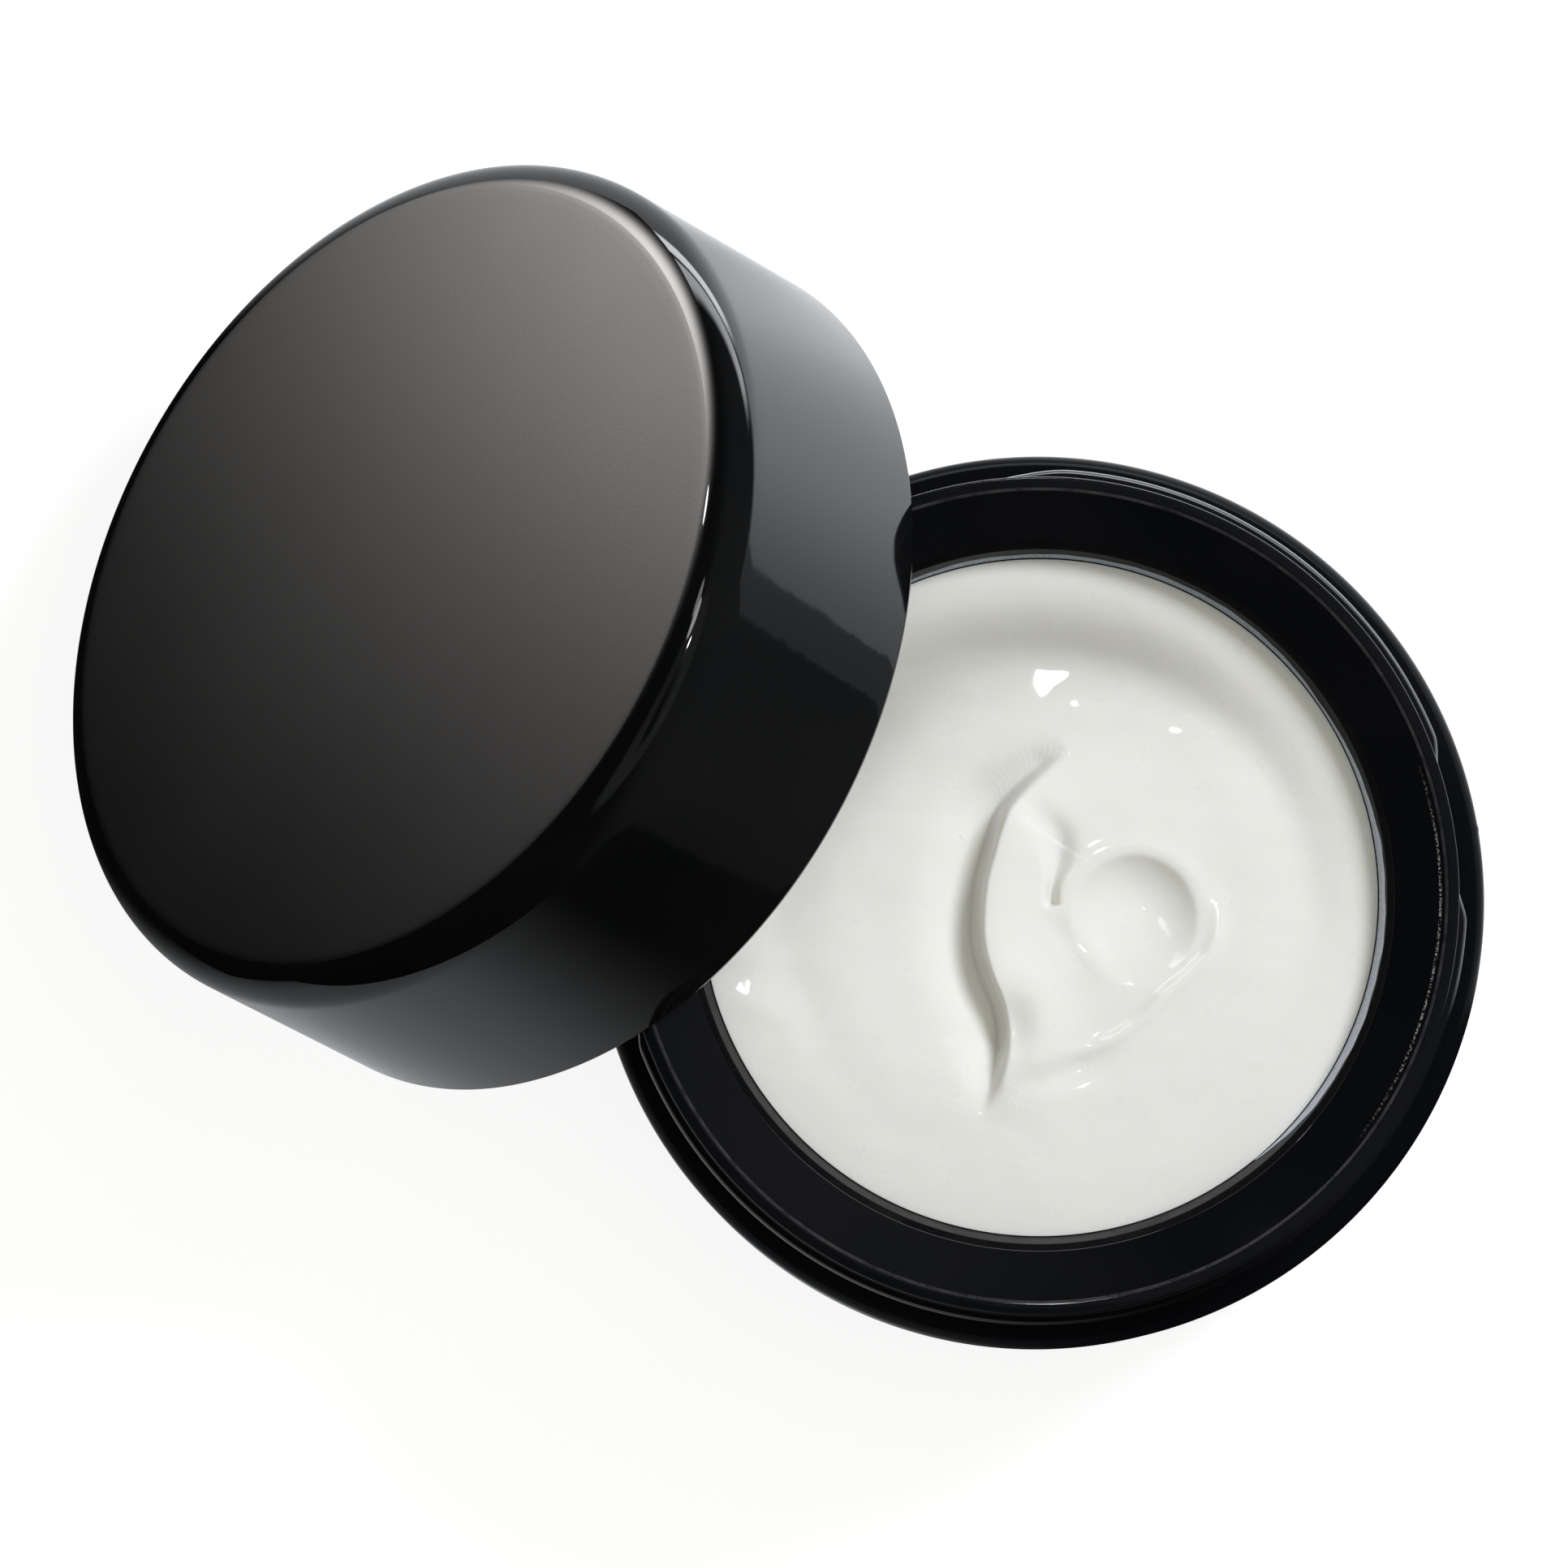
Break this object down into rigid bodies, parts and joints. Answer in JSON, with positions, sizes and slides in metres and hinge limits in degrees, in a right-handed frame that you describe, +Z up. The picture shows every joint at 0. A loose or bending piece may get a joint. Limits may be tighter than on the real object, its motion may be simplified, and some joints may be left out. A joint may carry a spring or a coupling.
{
  "type": "screw-top cosmetic cream jar",
  "caption": "Low round glass cream jar with a screw neck, filled with cream, its tall lid leaning open against the neck.",
  "frame": {"origin": "middle of the glass jar's foot, on the surface that the jar and the leaning lid stand on", "axes": "+Z up along the jar's axis; +X from the leaning lid towards the jar, level; the lid leans on the -X side, in the XZ plane; +Y completes the right-handed frame"},
  "size_m": [0.1, 0.0612, 0.056],
  "materials": {
    "black_glass": "glossy, so dark that it looks black",
    "cream": "thick glossy white cream",
    "lid_black": "glossy side and edge, fine satin texture on the flat top",
    "insert_black": "plain moulded polypropylene",
    "liner_foam": "white closed-cell foam"
  },
  "bodies": {
    "jar": {"glass_jar": "black_glass", "cream": "cream"},
    "liner": {"foam_liner": "liner_foam"},
    "lid": {"lid_shell": "lid_black", "lid_insert": "insert_black"}
  },
  "joints": [
    {"name": "lid_swing", "type": "hinge", "parent": "jar", "child": "liner", "pos_m": [0.00127, 0, -0.01218], "axis": [0, 1, 0], "range_deg": [0, 45.8]},
    {"name": "lid_turn", "type": "hinge", "parent": "liner", "child": "lid", "pos_m": [-0.04326, 0, 0.02936], "axis": [-0.7169, 0, 0.6972], "continuous": true}
  ]
}
